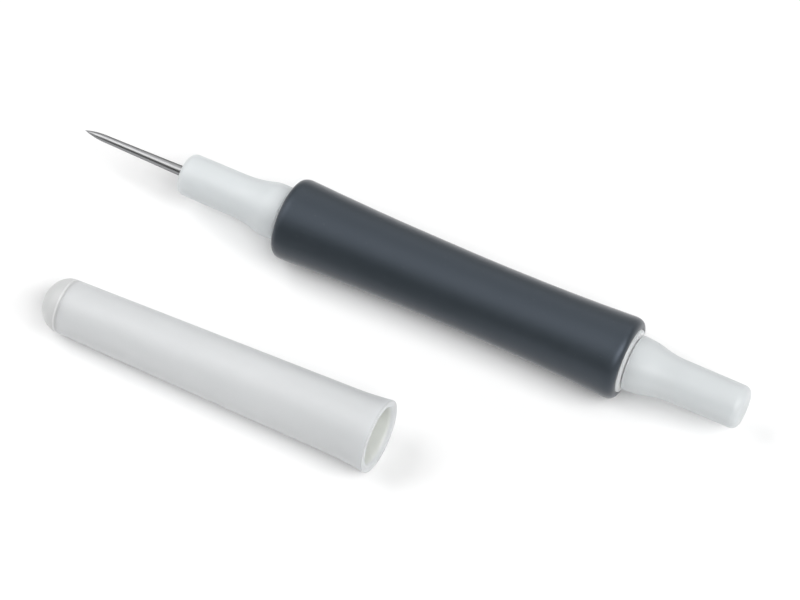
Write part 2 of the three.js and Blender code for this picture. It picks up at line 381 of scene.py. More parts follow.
class Graph:
    """A node tree, to which every node is added by one method."""

    def __init__(self, tree: bpy.types.NodeTree, output: str) -> None:
        """Empties a tree and gives it an output node.

        Args:
            tree: The node tree.
            output: The output node's type.
        """
        self.tree = tree
        self.tree.nodes.clear()
        self.output = self.tree.nodes.new(output)

    def surface(self, shader: Wire) -> None:
        """Joins a shader to the tree's output."""
        self.tree.links.new(shader.socket, self.output.inputs["Surface"])

    def node(
        self, kind: str, settings: dict | None = None, inputs: dict | None = None, output: int | str = 0
    ) -> Wire:
        """Adds any node.

        Args:
            kind: The node's type.
            settings: Its own settings, set first.
            inputs: Values or wires for its sockets, by name or number.
            output: The socket that the result wraps.

        Returns:
            The wrapped output.
        """
        made = self.tree.nodes.new(kind)
        for name, value in (settings or {}).items():
            setattr(made, name, value)
        for key, value in (inputs or {}).items():
            if isinstance(value, Wire):
                self.tree.links.new(value.socket, made.inputs[key])
            else:
                made.inputs[key].default_value = value
        return Wire(self, made.outputs[output])

    def shown(self) -> Wire:
        """Tells the rays that show the background from those that carry light.

        Returns:
            1 for camera, glossy and transmission rays, 0 for the others.
        """
        kinds = ("Is Camera Ray", "Is Glossy Ray", "Is Transmission Ray")
        wires = [self.node("ShaderNodeLightPath", output=kind) for kind in kinds]
        return (wires[0] + wires[1] + wires[2]).clamped()


class Finish(Graph):
    """The node tree of one material, with a Principled shader at its end."""

    def __init__(self, name: str) -> None:
        """Makes a material whose tree has only its output and a Principled shader.

        Args:
            name: The material's name.
        """
        self.material = bpy.data.materials.new(name)
        self.material.use_nodes = True
        super().__init__(self.material.node_tree, "ShaderNodeOutputMaterial")
        self.shader = self.tree.nodes.new("ShaderNodeBsdfPrincipled")
        self.surface(Wire(self, self.shader.outputs["BSDF"]))

    def place(self, scale: Triple = (1.0, 1.0, 1.0)) -> Wire:
        """Object coordinates, stretched.

        Args:
            scale: How many cells lie in each mm along X, Y and Z.

        Returns:
            The stretched coordinates.
        """
        coordinates = self.node("ShaderNodeTexCoord", output="Object")
        inputs = {"Vector": coordinates, "Scale": Vector(scale) / MM}
        return self.node("ShaderNodeMapping", inputs=inputs)

    def attribute(self, name: str) -> Wire:
        """One of the surface's own numbers."""
        return self.node("ShaderNodeAttribute", {"attribute_name": name}, output="Fac")

    def noise(self, scale: Triple, detail: float = 3.0, roughness: float = 0.5) -> Wire:
        """Noise between 0 and 1, with so many cells for each mm along X, Y and Z."""
        inputs = {"Vector": self.place(scale), "Scale": 1.0, "Detail": detail, "Roughness": roughness}
        return self.node("ShaderNodeTexNoise", None, inputs, "Fac")

    def specks(self, scale: float, size: float) -> Wire:
        """Small round specks: 1 at a cell's middle, falling to 0 at size times the cell."""
        inputs = {"Vector": self.place(), "Scale": scale, "Randomness": 1.0}
        return self.node("ShaderNodeTexVoronoi", None, inputs, "Distance").ease(size, 0.4 * size)

    def mix(self, share: Wire | float, first: Wire | Colour, second: Wire | Colour) -> Wire:
        """Mixes two colours.

        Args:
            share: How much of the second there is, from 0 to 1.
            first: The colour at 0.
            second: The colour at 1.

        Returns:
            The mixed colour.
        """
        colours = [c if isinstance(c, Wire) else (*c, 1.0) for c in (first, second)]
        settings = {"data_type": "RGBA", "blend_type": "MIX"}
        return self.node("ShaderNodeMix", settings, {0: share, 6: colours[0], 7: colours[1]}, 2)

    def bump(self, height: Wire, distance: float) -> Wire:
        """A bump normal from a height of 0 to 1 that stands for distance in mm."""
        inputs = {"Height": height, "Distance": distance * MM, "Strength": 1.0}
        return self.node("ShaderNodeBump", None, inputs, "Normal")

    def finish(self, **inputs: Wire | float | Colour) -> bpy.types.Material:
        """Sets the shader's sockets and returns the material.

        Args:
            **inputs: Socket names with underscores for spaces, and their values or wires.

        Returns:
            The material.
        """
        for key, value in inputs.items():
            socket = self.shader.inputs[key.replace("_", " ")]
            if isinstance(value, Wire):
                self.tree.links.new(value.socket, socket)
            elif isinstance(value, tuple) and socket.type == "RGBA":
                socket.default_value = (*value, 1.0)
            else:
                socket.default_value = value
        return self.material


@dataclass(frozen=True)
class GroundSteel:
    """Bright ground steel: fine lengthwise polish, and rings where the point was ground."""

    name: str
    point_length: float
    colour: Colour = (0.32, 0.322, 0.326)
    worn: Colour = (0.26, 0.262, 0.266)
    edge: Colour = (0.30, 0.30, 0.31)
    roughness: float = 0.3
    point_fade: Pair = (0.6, 0.8)
    polish_grain: Triple = (0.35, 14.0, 14.0)
    ring_grain: Triple = (22.0, 0.5, 0.5)
    smudge_grain: Triple = (0.3, 0.8, 0.8)
    mark_depth: float = 0.004
    smudge_share: float = 0.3
    contrast: Pair = (0.25, 0.75)
    rough_marks: float = 0.12
    rough_smudge: float = 0.08
    rough_point: float = 0.04

    def build(self) -> bpy.types.Material:
        """Makes the material.

        Returns:
            The material, its marks lengthwise on the taper and round it on the point.
        """
        graph = Finish(self.name)
        along = graph.attribute(ALONG)
        point = along.ease(self.point_length + self.point_fade[0], self.point_length - self.point_fade[1])
        polish = graph.noise(self.polish_grain, detail=4.0)
        rings = graph.noise(self.ring_grain, detail=2.0)
        marks = polish + (rings - polish) * point
        smudge = graph.noise(self.smudge_grain, detail=2.0)
        shine = marks * (1.0 - self.smudge_share) + smudge * self.smudge_share
        colour = graph.mix(shine.ease(*self.contrast), self.worn, self.colour)
        rough = self.roughness + (marks - 0.5) * self.rough_marks
        rough = rough + (smudge - 0.5) * self.rough_smudge + point * self.rough_point
        return graph.finish(
            Base_Color=colour,
            Metallic=1.0,
            Roughness=rough,
            Specular_Tint=self.edge,
            Normal=graph.bump(marks, self.mark_depth),
        )


@dataclass(frozen=True)
class Tint:
    """Another colour where one of the surface's numbers passes from one value to another.

    The number is taken less its growth for each mm along the piece.
    """

    attribute: str
    clear: float
    full: float
    colour: Colour
    growth: float = 0.0

    def over(self, graph: Finish, colour: Wire) -> Wire:
        """Mixes this colour into another.

        Args:
            graph: The finish being built.
            colour: The colour elsewhere.

        Returns:
            The colour everywhere.
        """
        number = graph.attribute(self.attribute)
        if self.growth:
            number = number - graph.attribute(ALONG) * self.growth
        return graph.mix(number.ease(self.clear, self.full), colour, self.colour)


@dataclass(frozen=True)
class MouldedPlastic:
    """Cloudy moulded plastic with a soft satin skin."""

    name: str
    colour: Colour
    thin: Colour
    tints: tuple[Tint, ...] = ()
    roughness: float = 0.40
    cloud: float = 0.5
    depth: float = 0.8
    depth_scale: float = 0.003
    skin_depth: float = 0.003
    cloud_grain: Triple = (0.16, 0.22, 0.22)
    flow_grain: Triple = (0.08, 0.9, 0.9)
    handling_grain: Triple = (0.35, 0.35, 0.35)
    skin_grain: Triple = (2.6, 2.6, 2.6)
    mote: Colour = (0.30, 0.30, 0.29)
    mote_cells: float = 0.42
    mote_size: float = 0.045
    mote_share: float = 0.10
    flow_share: float = 0.3
    contrast: Pair = (0.3, 0.7)
    rough_handling: float = 0.16
    rough_skin: float = 0.05
    index: float = 1.49

    def build(self) -> bpy.types.Material:
        """Makes the material.

        Returns:
            The material, clouded, flecked, then tinted where its tints say.
        """
        graph = Finish(self.name)
        cloud = graph.noise(self.cloud_grain)
        flow = graph.noise(self.flow_grain, detail=2.0)
        handling = graph.noise(self.handling_grain, detail=4.0, roughness=0.6)
        skin = graph.noise(self.skin_grain)
        motes = graph.specks(self.mote_cells, self.mote_size)
        milky = cloud * (1.0 - self.flow_share) + flow * self.flow_share
        colour = graph.mix(milky.ease(*self.contrast) * self.cloud, self.colour, self.thin)
        colour = graph.mix(motes * self.mote_share, colour, self.mote)
        for tint in self.tints:
            colour = tint.over(graph, colour)
        rough = self.roughness + (handling - 0.5) * self.rough_handling + (skin - 0.5) * self.rough_skin
        return graph.finish(
            Base_Color=colour,
            Roughness=rough,
            Normal=graph.bump(skin, self.skin_depth),
            Subsurface_Weight=self.depth,
            Subsurface_Radius=(1.0, 1.0, 1.0),
            Subsurface_Scale=self.depth_scale,
            IOR=self.index,
        )


@dataclass(frozen=True)
class SoftGrip:
    """Soft matte grip material: fine grain, a little dust, paler where hands wear its ends."""

    name: str
    colour: Colour
    worn: Colour
    length: float
    roughness: float = 0.44
    worn_from: float = 1.8
    worn_at: float = 0.3
    skin_grain: Triple = (3.2, 3.2, 3.2)
    patch_grain: Triple = (0.12, 0.2, 0.2)
    smear_grain: Triple = (0.5, 0.2, 0.2)
    skin_depth: float = 0.012
    dust: Colour = (0.22, 0.23, 0.24)
    dust_cells: float = 0.55
    dust_size: float = 0.06
    dust_share: float = 0.22
    wear_share: float = 0.5
    wear_grain: float = 0.6
    patch_share: float = 0.16
    patch_contrast: Pair = (0.35, 0.8)
    rough_smears: float = 0.14
    rough_grain: float = 0.08
    height_shares: Triple = (0.7, 0.3, 0.4)
    index: float = 1.5
    specular: float = 0.57
    specular_tint: Colour = (0.72, 0.82, 1.0)
    sheen: float = 0.45
    sheen_roughness: float = 0.3

    def build(self) -> bpy.types.Material:
        """Makes the material.

        Returns:
            The material, worn at its ends and in slow patches, with a bluish gloss and a sheen.
        """
        graph = Finish(self.name)
        along = graph.attribute(ALONG)
        grain = graph.noise(self.skin_grain, detail=4.0, roughness=0.6)
        patches = graph.noise(self.patch_grain)
        smears = graph.noise(self.smear_grain, detail=4.0, roughness=0.6)
        dust = graph.specks(self.dust_cells, self.dust_size)
        ends = along.ease(self.worn_from, self.worn_at)
        ends = ends + along.ease(self.length - self.worn_from, self.length - self.worn_at)
        rubbed = ends * (grain * self.wear_grain + (1.0 - self.wear_grain)) * self.wear_share
        wear = (rubbed + patches.ease(*self.patch_contrast) * self.patch_share).clamped()
        colour = graph.mix(wear, self.colour, self.worn)
        colour = graph.mix(dust * self.dust_share, colour, self.dust)
        rough = self.roughness + (smears - 0.5) * self.rough_smears + (grain - 0.5) * self.rough_grain
        fine, slow, raised = self.height_shares
        height = grain * fine + patches * slow + dust * raised
        return graph.finish(
            Base_Color=colour,
            Roughness=rough,
            Normal=graph.bump(height, self.skin_depth),
            IOR=self.index,
            Specular_IOR_Level=self.specular,
            Specular_Tint=self.specular_tint,
            Sheen_Weight=self.sheen,
            Sheen_Roughness=self.sheen_roughness,
        )


@dataclass
class Finishes:
    """Every finish of the object, built once."""

    steel: bpy.types.Material = field(init=False)
    nose: bpy.types.Material = field(init=False)
    tail: bpy.types.Material = field(init=False)
    core: bpy.types.Material = field(init=False)
    grip: bpy.types.Material = field(init=False)
    cap: bpy.types.Material = field(init=False)
    dome: bpy.types.Material = field(init=False)

    def __post_init__(self) -> None:
        """Builds the materials."""
        self.steel = GroundSteel("ground_steel", Needle.point_length).build()
        # The nose and tail plugs are one plastic. The nose's copy is painted lighter and the tail's
        # darker: painted light and shade for light that falls more on the left.
        self.nose = MouldedPlastic(
            "cloudy_plug_plastic_painted_lighter", (0.684, 0.712, 0.723), (0.670, 0.701, 0.713)
        ).build()
        self.tail = MouldedPlastic(
            "cloudy_plug_plastic_painted_darker", (0.622, 0.647, 0.657), (0.609, 0.636, 0.647), TailPlug.tints()
        ).build()
        self.core = MouldedPlastic(
            "white_core_plastic", (0.665, 0.70, 0.715), (0.65, 0.69, 0.705), CoreTube.tints(),
            roughness=0.38, depth=0.9, depth_scale=0.004,
        ).build()
        self.grip = SoftGrip(
            "slate_grip_rubber", (0.0227, 0.0288, 0.0340), (0.032, 0.038, 0.044), GripSleeve.length
        ).build()
        self.cap = MouldedPlastic(
            "pale_cap_plastic", (0.671, 0.685, 0.695), (0.656, 0.671, 0.682), Cap.barrel_tints(),
            roughness=0.42,
        ).build()
        self.dome = MouldedPlastic(
            "pale_dome_plastic", (0.649, 0.656, 0.655), (0.634, 0.642, 0.641), Cap.dome_tints()
        ).build()


class Slot(Enum):
    """The record's material slots."""

    STEEL = "needle_steel"
    PLUG = "plug_plastic"
    CORE = "core_plastic"
    GRIP = "grip_rubber"
    CAP = "cap_plastic"
    DOME = "dome_plastic"


def settle(piece: bpy.types.Object, node: str, body: str, finish: bpy.types.Material) -> None:
    """Dresses a finished piece, seats it on its body and lets it stand for its node.

    Args:
        piece: The finished piece.
        node: The node that it stands for.
        body: The body that it rides on.
        finish: The material.
    """
    piece.data.materials.append(finish)
    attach(piece, body)
    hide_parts(node)
    low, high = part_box(node)
    corners = np.array([v[:] for v in piece.bound_box])
    excess = max((np.array(low) - corners.min(0)).max(), (corners.max(0) - np.array(high)).max())
    faces = len(piece.data.polygons)
    LOG.info("%s for %s: %d faces, %.3f mm past its box", piece.name, node, faces, excess / MM)


@dataclass(frozen=True)
class Needle:
    """The needle: a ground point, a slow taper and a held root with ring grooves."""

    axis: Axis
    exposed: float = 23.8
    point_length: float = 6.0
    point_power: float = 2.5
    shoulder: float = 0.8
    root: float = 1.1
    held: float = 16.0
    chamfer: float = 0.3
    groove_count: int = 4
    groove_pitch: float = 1.8
    groove_width: float = 0.8
    groove_depth: float = 0.2
    point_steps: int = 48
    segments: int = 64

    def point_radius(self, share: np.ndarray) -> np.ndarray:
        """The shoulder's radius times 1 less a power of the share of the point still to go."""
        return self.shoulder * (1.0 - (1.0 - share) ** self.point_power)

    def outline(self) -> Outline:
        """Draws the ground point, the taper, and the held root with its ring grooves.

        Returns:
            The outline, from the tip to the root's end.
        """
        end = self.exposed + self.held
        first = end - self.groove_pitch * self.groove_count - self.chamfer
        outline = Outline(0.0, 0.0)
        outline.follow(self.point_length, self.point_steps, self.point_radius)
        outline.to(self.exposed, self.root)
        for groove in range(self.groove_count):
            middle = first + self.groove_pitch * (groove + 0.5)
            outline.to(middle - self.groove_width / 2.0, self.root)
            outline.to(middle, self.root - self.groove_depth)
            outline.to(middle + self.groove_width / 2.0, self.root)
        outline.to(end - self.chamfer, self.root)
        outline.to(end, self.root - self.chamfer)
        return outline.to(end, 0.0)

    def build(self, finishes: Finishes) -> None:
        """Makes the needle and dresses it."""
        piece = turn("steel_needle", self.outline(), self.axis, self.segments)
        settle(piece, "needle", PICK_BODY, finishes.steel)


@dataclass(frozen=True)
class MouldedPlug:
    """One plug: a drafted spigot, an ogee flare and a short land outside, a ribbed shank inside."""

    axis: Axis
    straight: float
    flare: float
    land: float
    hollow_share: float
    spigot_end: float = 4.52
    spigot: float = 4.55
    edge_radius: float = 1.6
    land_radius: float = 5.8
    back_radius: float = 0.45
    shank: float = 4.6
    shank_length: float = 14.0
    shank_chamfer: float = 0.6
    core_mouth: float = 2.6
    core_draft: float = 0.4
    rib_count: int = 6
    rib_width: float = 0.9
    rib_height: float = 0.24
    rib_setback: float = 0.5
    rib_lead: float = 1.2
    rib_edge: float = 0.05
    skin_from: float = 3.3
    line_height: float = 0.02
    line_width: float = 0.12
    line_start: Pair = (0.4, 1.6)
    line_stop: Pair = (1.2, 0.5)
    edge_steps: int = 12
    flare_steps: int = 28
    back_steps: int = 8
    segments: int = 192

    @property
    def back(self) -> float:
        """Where the exposed part ends and the shank begins."""
        return self.straight + self.flare + self.land

    def flare_radius(self, share: np.ndarray) -> np.ndarray:
        """An ogee: a hollow parabola over the first share, a full one over the rest.

        Args:
            share: How far along the flare.

        Returns:
            The radius there.
        """
        hollow = share**2 / self.hollow_share
        full = 1.0 - (1.0 - share) ** 2 / (1.0 - self.hollow_share)
        rise = np.where(share < self.hollow_share, hollow, full)
        return self.spigot + (self.land_radius - self.spigot) * rise

    def outside(self, outline: Outline) -> Outline:
        """Carries an outline from the end face to the shank's tip.

        Args:
            outline: The outline so far.

        Returns:
            The same outline.
        """
        outline.to(0.0, self.spigot_end - self.edge_radius)
        outline.round_from_face(self.edge_radius, self.spigot_end, self.edge_steps)
        outline.to(self.straight, self.spigot)
        outline.follow(self.straight + self.flare, self.flare_steps, self.flare_radius)
        outline.to(self.back - self.back_radius, self.land_radius)
        outline.round_to_face(self.back, self.land_radius - self.back_radius, self.back_steps)
        outline.to(self.back, self.shank)
        outline.to(self.back + self.shank_length - self.shank_chamfer, self.shank)
        return outline.to(self.back + self.shank_length, self.shank - self.shank_chamfer)

    def cored(self, outline: Outline, core_end: float) -> Outline:
        """Carries an outline from the shank's tip down the cored hole.

        Args:
            outline: The outline so far.
            core_end: Where the hole's floor lies along the axis.

        Returns:
            The same outline.
        """
        outline.to(float(outline.end[0]), self.core_mouth)
        outline.to(core_end, self.core_mouth - self.core_draft)
        return outline.to(core_end, 0.0)

    def ribs(self, u: np.ndarray, angle: np.ndarray) -> np.ndarray:
        """Crush ribs on the shank.

        A rib's height is its full height times a flat-topped window round its middle
        angle, times a ramp over its lead at the shank's tip.

        Args:
            u: Distances along the axis.
            angle: Angles round it.

        Returns:
            How far the ribs stand out.
        """
        turned = (angle / TURN * self.rib_count + 0.5) % 1.0 - 0.5
        arc = np.abs(turned) * TURN / self.rib_count * self.shank
        side = self.rib_width / 2.0
        window = smoothstep(-arc, -side - self.rib_edge, -side + self.rib_edge)
        start = self.back + self.rib_setback
        tip = self.back + self.shank_length - self.shank_chamfer
        run = smoothstep(u, start - self.rib_edge, start + self.rib_edge)
        return self.rib_height * window * (run * np.clip((tip - u) / self.rib_lead, 0.0, 1.0))

    def seam(self, u: np.ndarray, angle: np.ndarray) -> np.ndarray:
        """A fine mould line at both sides of the spigot and flare: a bell curve of the arc.

        Args:
            u: Distances along the axis.
            angle: Angles round it.

        Returns:
            How far the lines stand out.
        """
        side = np.abs((angle / math.pi + 0.5) % 1.0 - 0.5) * math.pi
        ridge = self.line_height * np.exp(-((side * self.spigot / self.line_width) ** 2))
        stop = smoothstep(u, self.back - self.line_stop[0], self.back - self.line_stop[1])
        return ridge * (smoothstep(u, *self.line_start) * (1.0 - stop))

    def relief(self, u: np.ndarray, r: np.ndarray, angle: np.ndarray) -> np.ndarray:
        """Mould lines and ribs, on the outer skin only."""
        return (self.seam(u, angle) + self.ribs(u, angle)) * (r > self.skin_from)


@dataclass(frozen=True)
class NosePlug(MouldedPlug):
    """The nose plug, with a blind hole in its end face for the needle."""

    straight: float = 12.3
    flare: float = 8.5
    land: float = 2.65
    hollow_share: float = 0.8
    needle_hole: float = 1.15
    hole_depth: float = 16.3
    hole_chamfer: float = 0.12
    stop_wall: float = 4.0

    def build(self, finishes: Finishes) -> None:
        """Makes the nose plug and dresses it.

        Args:
            finishes: The object's finishes.
        """
        outline = Outline(self.hole_depth, 0.0)
        outline.to(self.hole_depth, self.needle_hole).to(self.hole_chamfer, self.needle_hole)
        outline.to(0.0, self.needle_hole + self.hole_chamfer)
        outline = self.cored(self.outside(outline), self.hole_depth + self.stop_wall)
        piece = turn("nose_plug_moulding", outline, self.axis, self.segments, self.relief)
        settle(piece, "nose_plug", PICK_BODY, finishes.nose)


@dataclass(frozen=True)
class TailPlug(MouldedPlug):
    """The tail plug, closed at its end face and cored from inside."""

    straight: float = 14.5
    flare: float = 9.2
    land: float = 0.55
    hollow_share: float = 0.5
    back_radius: float = 0.35
    end_wall: float = 3.0
    painted_edge_highlight: Colour = (0.96, 0.97, 0.98)

    @classmethod
    def tints(cls) -> tuple[Tint, ...]:
        """The land's back edge is painted paler: a painted highlight where it catches light."""
        back = cls.straight + cls.flare + cls.land
        return (Tint(ALONG, back - 0.3, back - 0.05, cls.painted_edge_highlight),)

    def build(self, finishes: Finishes) -> None:
        """Makes the tail plug and dresses it.

        Args:
            finishes: The object's finishes.
        """
        outline = self.cored(self.outside(Outline(0.0, 0.0)), self.end_wall)
        piece = turn("tail_plug_moulding", outline, self.axis, self.segments, self.relief)
        settle(piece, "tail_plug", PICK_BODY, finishes.tail)


@dataclass(frozen=True)
class CoreTube:
    """The tube under the grip, whose rounded rims show at both ends of it."""

    axis: Axis
    length: float = 77.9
    radius: float = 6.7
    bore: float = 4.9
    edge: float = 0.42
    edge_drop: float = 0.85
    painted_face_highlight: Colour = (0.95, 0.97, 0.98)
    segments: int = 144

    @classmethod
    def tints(cls) -> tuple[Tint, ...]:
        """The rim's face is painted whiter than the skin: a painted highlight on the face."""
        return (Tint(AWAY, cls.radius - 0.3, cls.radius - 0.75, cls.painted_face_highlight),)

    def build(self, finishes: Finishes) -> None:
        """Makes the tube and dresses it.

        Args:
            finishes: The object's finishes.
        """
        outline = Outline(0.0, self.bore, stride=1.5)
        outline.to(0.0, self.radius - self.edge_drop).round_from_face(self.edge, self.radius)
        outline.to(self.length - self.edge, self.radius)
        outline.round_to_face(self.length, self.radius - self.edge_drop)
        outline.to(self.length, self.bore).to(0.0, self.bore)
        piece = turn("white_core_tube", outline, self.axis, self.segments)
        settle(piece, "core_tube", PICK_BODY, finishes.core)


@dataclass(frozen=True)
class GripSleeve:
    """The soft sleeve: rolled ends and a long waist a little behind the middle."""

    axis: Axis
    length: float = 77.0
    bore: float = 6.8
    end_radius: float = 8.7
    waist_radius: float = 7.85
    waist_place: float = 42.0
    waist_power: float = 2.06
    roll: float = 2.4
    roll_power: float = 2.8
    roll_steps: int = 28
    front_steps: int = 48
    rear_steps: int = 40
    segments: int = 168
    soft_depth: float = 0.02
    soft_fade: Pair = (3.0, 9.0)

    def swell(self, share: np.ndarray) -> np.ndarray:
        """The radius at a share of the way from the waist to a rolled end."""
        return self.waist_radius + (self.end_radius - self.waist_radius) * share**self.waist_power

    def softness(self, u: np.ndarray, r: np.ndarray, angle: np.ndarray) -> np.ndarray:
        """Slow unevenness of the soft skin, up to 0.04 mm, always inwards of the true form.

        It sums products of slow waves along and round the sleeve, fades at the rolled ends,
        and leaves the bore alone.

        Args:
            u: Distances along the axis.
            r: Distances from it.
            angle: Angles round it.

        Returns:
            What to add to the radius.
        """
        waves = np.sin(0.21 * u + 1.3 * np.cos(angle)) * np.sin(2.0 * angle + 0.09 * u + 0.7)
        ripple = np.sin(0.53 * u + 2.1) * np.cos(3.0 * angle - 0.31 * u)
        near, far = self.soft_fade
        span = smoothstep(u, near, far) * (1.0 - smoothstep(u, self.length - far, self.length - near))
        outside = r > (self.bore + self.waist_radius) / 2.0
        return -self.soft_depth * span * (1.0 + 0.6 * waves + 0.4 * ripple) * outside

    def build(self, finishes: Finishes) -> None:
        """Makes the sleeve and dresses it.

        Args:
            finishes: The object's finishes.
        """
        outline = Outline(0.0, self.bore, stride=1.5)
        outline.round_from_face(self.roll, self.end_radius, self.roll_steps, self.roll_power)
        outline.follow(self.waist_place, self.front_steps, lambda share: self.swell(1.0 - share))
        outline.follow(self.length - self.roll, self.rear_steps, self.swell)
        outline.round_to_face(self.length, self.bore, self.roll_steps, self.roll_power)
        outline.to(0.0, self.bore)
        piece = turn("soft_grip_sleeve", outline, self.axis, self.segments, self.softness)
        settle(piece, "grip_sleeve", PICK_BODY, finishes.grip)


@dataclass(frozen=True)
class Cap:
    """The cap: a drafted barrel that flares at its mouth, closed by a domed end plug."""

    mouth_x: float = 13.5
    mouth_y: float = -19.415
    turned: float = math.radians(0.25)
    length: float = 70.6
    seam: float = 5.75
    body: float = 7.23
    lip: float = 7.67
    flare: float = 8.5
    lip_radius: float = 0.4
    lip_edge: float = 0.18
    mouth_bore: float = 5.87
    seam_bore: float = 4.5
    lead_in_width: float = 0.8
    lead_in_depth: float = 1.4
    seam_edge: float = 0.07
    rest_setback: float = 0.12
    seam_gap: float = 0.25
    seam_clearance: float = 0.004
    dome_height: float = 4.95
    dome_spigot: float = 5.0
    dome_clearance: float = 0.15
    dome_chamfer: float = 0.4
    dome_wall: float = 1.3
    seam_steps: int = 5
    flare_steps: int = 24
    lip_steps: int = 8
    lead_in_steps: int = 16
    dome_steps: int = 36
    hollow_steps: int = 16
    segments: int = 168
    # Painted light and shade: painted highlights at the seam edges, painted shade towards the mouth and
    # on the rim and lip, painted light in the bore.
    painted_seam_highlight: Colour = (0.84, 0.86, 0.87)
    painted_dome_seam_highlight: Colour = (0.84, 0.85, 0.85)
    painted_mouth_shade: Colour = (0.614, 0.627, 0.636)
    mouth_shade_span: Pair = (30.6, 0.6)
    painted_rim_shade: Colour = (0.600, 0.617, 0.628)
    painted_lip_shade: Colour = (0.525, 0.540, 0.550)
    lip_slope: float = 0.7
    painted_bore_light: Colour = (0.715, 0.733, 0.703)
    bore_growth: float = 0.0202

    @classmethod
    def barrel_tints(cls) -> tuple[Tint, ...]:
        """The painted light and shade that the barrel's own colour gives way to.

        Returns:
            A painted highlight at the seam edge; painted shade, darker towards the mouth, over
            its rim and round the corner of its lip, where the radius plus the slope of the length
            is largest; and a paler, greener bore, painted light inside the hollow.
        """
        end, bore = cls.length, cls.seam_bore
        corner = cls.lip + cls.lip_slope * end
        return (
            Tint(ALONG, 0.4, 0.1, cls.painted_seam_highlight),
            Tint(ALONG, end - cls.mouth_shade_span[0], end - cls.mouth_shade_span[1], cls.painted_mouth_shade),
            Tint(ALONG, end - cls.lead_in_depth, end - 0.3, cls.painted_rim_shade),
            Tint(AWAY, corner - 0.34, corner - 0.14, cls.painted_lip_shade, growth=-cls.lip_slope),
            Tint(AWAY, bore + 0.25, bore - 0.05, cls.painted_bore_light, growth=cls.bore_growth),
        )

    @classmethod
    def dome_tints(cls) -> tuple[Tint, ...]:
        """A painted highlight: a bright edge at the seam."""
        return (Tint(ALONG, cls.dome_height - 0.45, cls.dome_height - 0.1, cls.painted_dome_seam_highlight),)

    def axis(self, start: float) -> Axis:
        """The cap's axis as it lies: it rests on its dome's rim and its lip.

        Args:
            start: Where u is 0, in mm from the barrel's seam end.

        Returns:
            The axis.
        """
        low = -self.seam_gap - self.rest_setback
        tilt = math.atan2(self.lip - self.seam, self.length - self.lip_radius - low)
        z = self.seam * math.cos(tilt) + (self.length - low) * math.sin(tilt)
        mouth = Axis(self.mouth_x, self.mouth_y, z, tilt, self.turned)
        return mouth.moved(start - self.length)

    def skin(self, share: np.ndarray) -> np.ndarray:
        """The radius over the flare: the draft's straight line plus a parabola to the lip.

        Args:
            share: How far along the flare.

        Returns:
            The radius there.
        """
        draft = (self.body - self.seam) / self.length
        straight = self.seam + draft * (self.length - self.flare + share * self.flare)
        return straight + (self.lip - self.body) * share**2

    def barrel(self, finishes: Finishes) -> None:
        """Makes the barrel and dresses it.

        Args:
            finishes: The object's finishes.
        """
        outline = Outline(0.0, self.seam_bore, stride=1.2)
        outline.to(0.0, self.seam - self.seam_edge)
        outline.round_from_face(self.seam_edge, self.seam, self.seam_steps)
        start = self.length - self.flare
        outline.to(start, float(self.skin(np.array(0.0))))
        outline.follow(self.length - self.lip_radius, self.flare_steps, self.skin)
        outline.to(self.length - self.lip_edge, self.lip)
        outline.round_to_face(self.length, self.lip - self.lip_edge, self.lip_steps)
        outline.to(self.length, self.mouth_bore + self.lead_in_width)
        outline.round_from_face(self.length - self.lead_in_depth, self.mouth_bore, self.lead_in_steps)
        outline.to(0.0, self.seam_bore)
        piece = turn("cap_barrel_moulding", outline, self.axis(0.0), self.segments)
        settle(piece, "cap_barrel", CAP_BODY, finishes.cap)

    def end(self, finishes: Finishes) -> None:
        """Makes the domed end and its hollow spigot, and dresses them.

        Args:
            finishes: The object's finishes.
        """
        spigot = self.seam_bore - self.dome_clearance
        tip = self.dome_height + self.seam_gap + self.dome_spigot
        hollow = spigot - self.dome_wall
        outline = Outline(0.0, 0.0)
        outline.round_from_face(self.dome_height - self.seam_edge, self.seam, self.dome_steps)
        outline.round_to_face(self.dome_height, self.seam - self.seam_edge, self.seam_steps)
        collar = self.dome_height + self.seam_gap - self.seam_clearance
        outline.to(collar, self.seam - self.seam_edge).to(collar, spigot)
        outline.to(tip - self.dome_chamfer, spigot)
        outline.to(tip, spigot - self.dome_chamfer).to(tip, hollow)
        outline.to(self.dome_wall + hollow, hollow)
        outline.round_to_face(self.dome_wall, 0.0, self.hollow_steps)
        axis = self.axis(-self.dome_height - self.seam_gap)
        piece = turn("cap_dome_moulding", outline, axis, self.segments)
        settle(piece, "cap_end", CAP_BODY, finishes.dome)


@dataclass(frozen=True)
class Pick:
    """The pick: every piece on one level axis, at the height of the grip's thick ends."""

    tip_x: float = -75.0
    y: float = 18.385
    z: float = 8.7
    nose_x: float = -51.2
    grip_x: float = -27.0
    tail_x: float = 75.0
    core_stand_out: float = 0.45

    def at(self, x: float, reverse: bool = False) -> Axis:
        """The pick's axis, with u = 0 at x."""
        return Axis(x, self.y, self.z, reverse=reverse)

    def build(self, finishes: Finishes) -> None:
        """Makes every piece of the pick in order.

        Args:
            finishes: The object's finishes.
        """
        Needle(self.at(self.tip_x)).build(finishes)
        NosePlug(self.at(self.nose_x)).build(finishes)
        CoreTube(self.at(self.grip_x - self.core_stand_out)).build(finishes)
        GripSleeve(self.at(self.grip_x)).build(finishes)
        TailPlug(self.at(self.tail_x, reverse=True)).build(finishes)


@dataclass(frozen=True)
class SoftLamp:
    """A rectangular soft lamp that faces the object, its distance and size in metres."""

    name: str
    azimuth: float
    elevation: float
    distance: float
    size: Pair
    radiance: float

    def hang(self) -> None:
        """Makes the lamp; its power is its radiance times pi times its area."""
        data = bpy.data.lights.new(self.name, "AREA")
        data.shape = "RECTANGLE"
        data.size, data.size_y = self.size
        data.energy = self.radiance * math.pi * self.size[0] * self.size[1]
        lamp = bpy.data.objects.new(self.name, data)
        bpy.context.scene.collection.objects.link(lamp)
        away = bearing(self.azimuth, self.elevation)
        lamp.location = away * self.distance
        lamp.rotation_euler = away.to_track_quat("Z", "Y").to_euler()


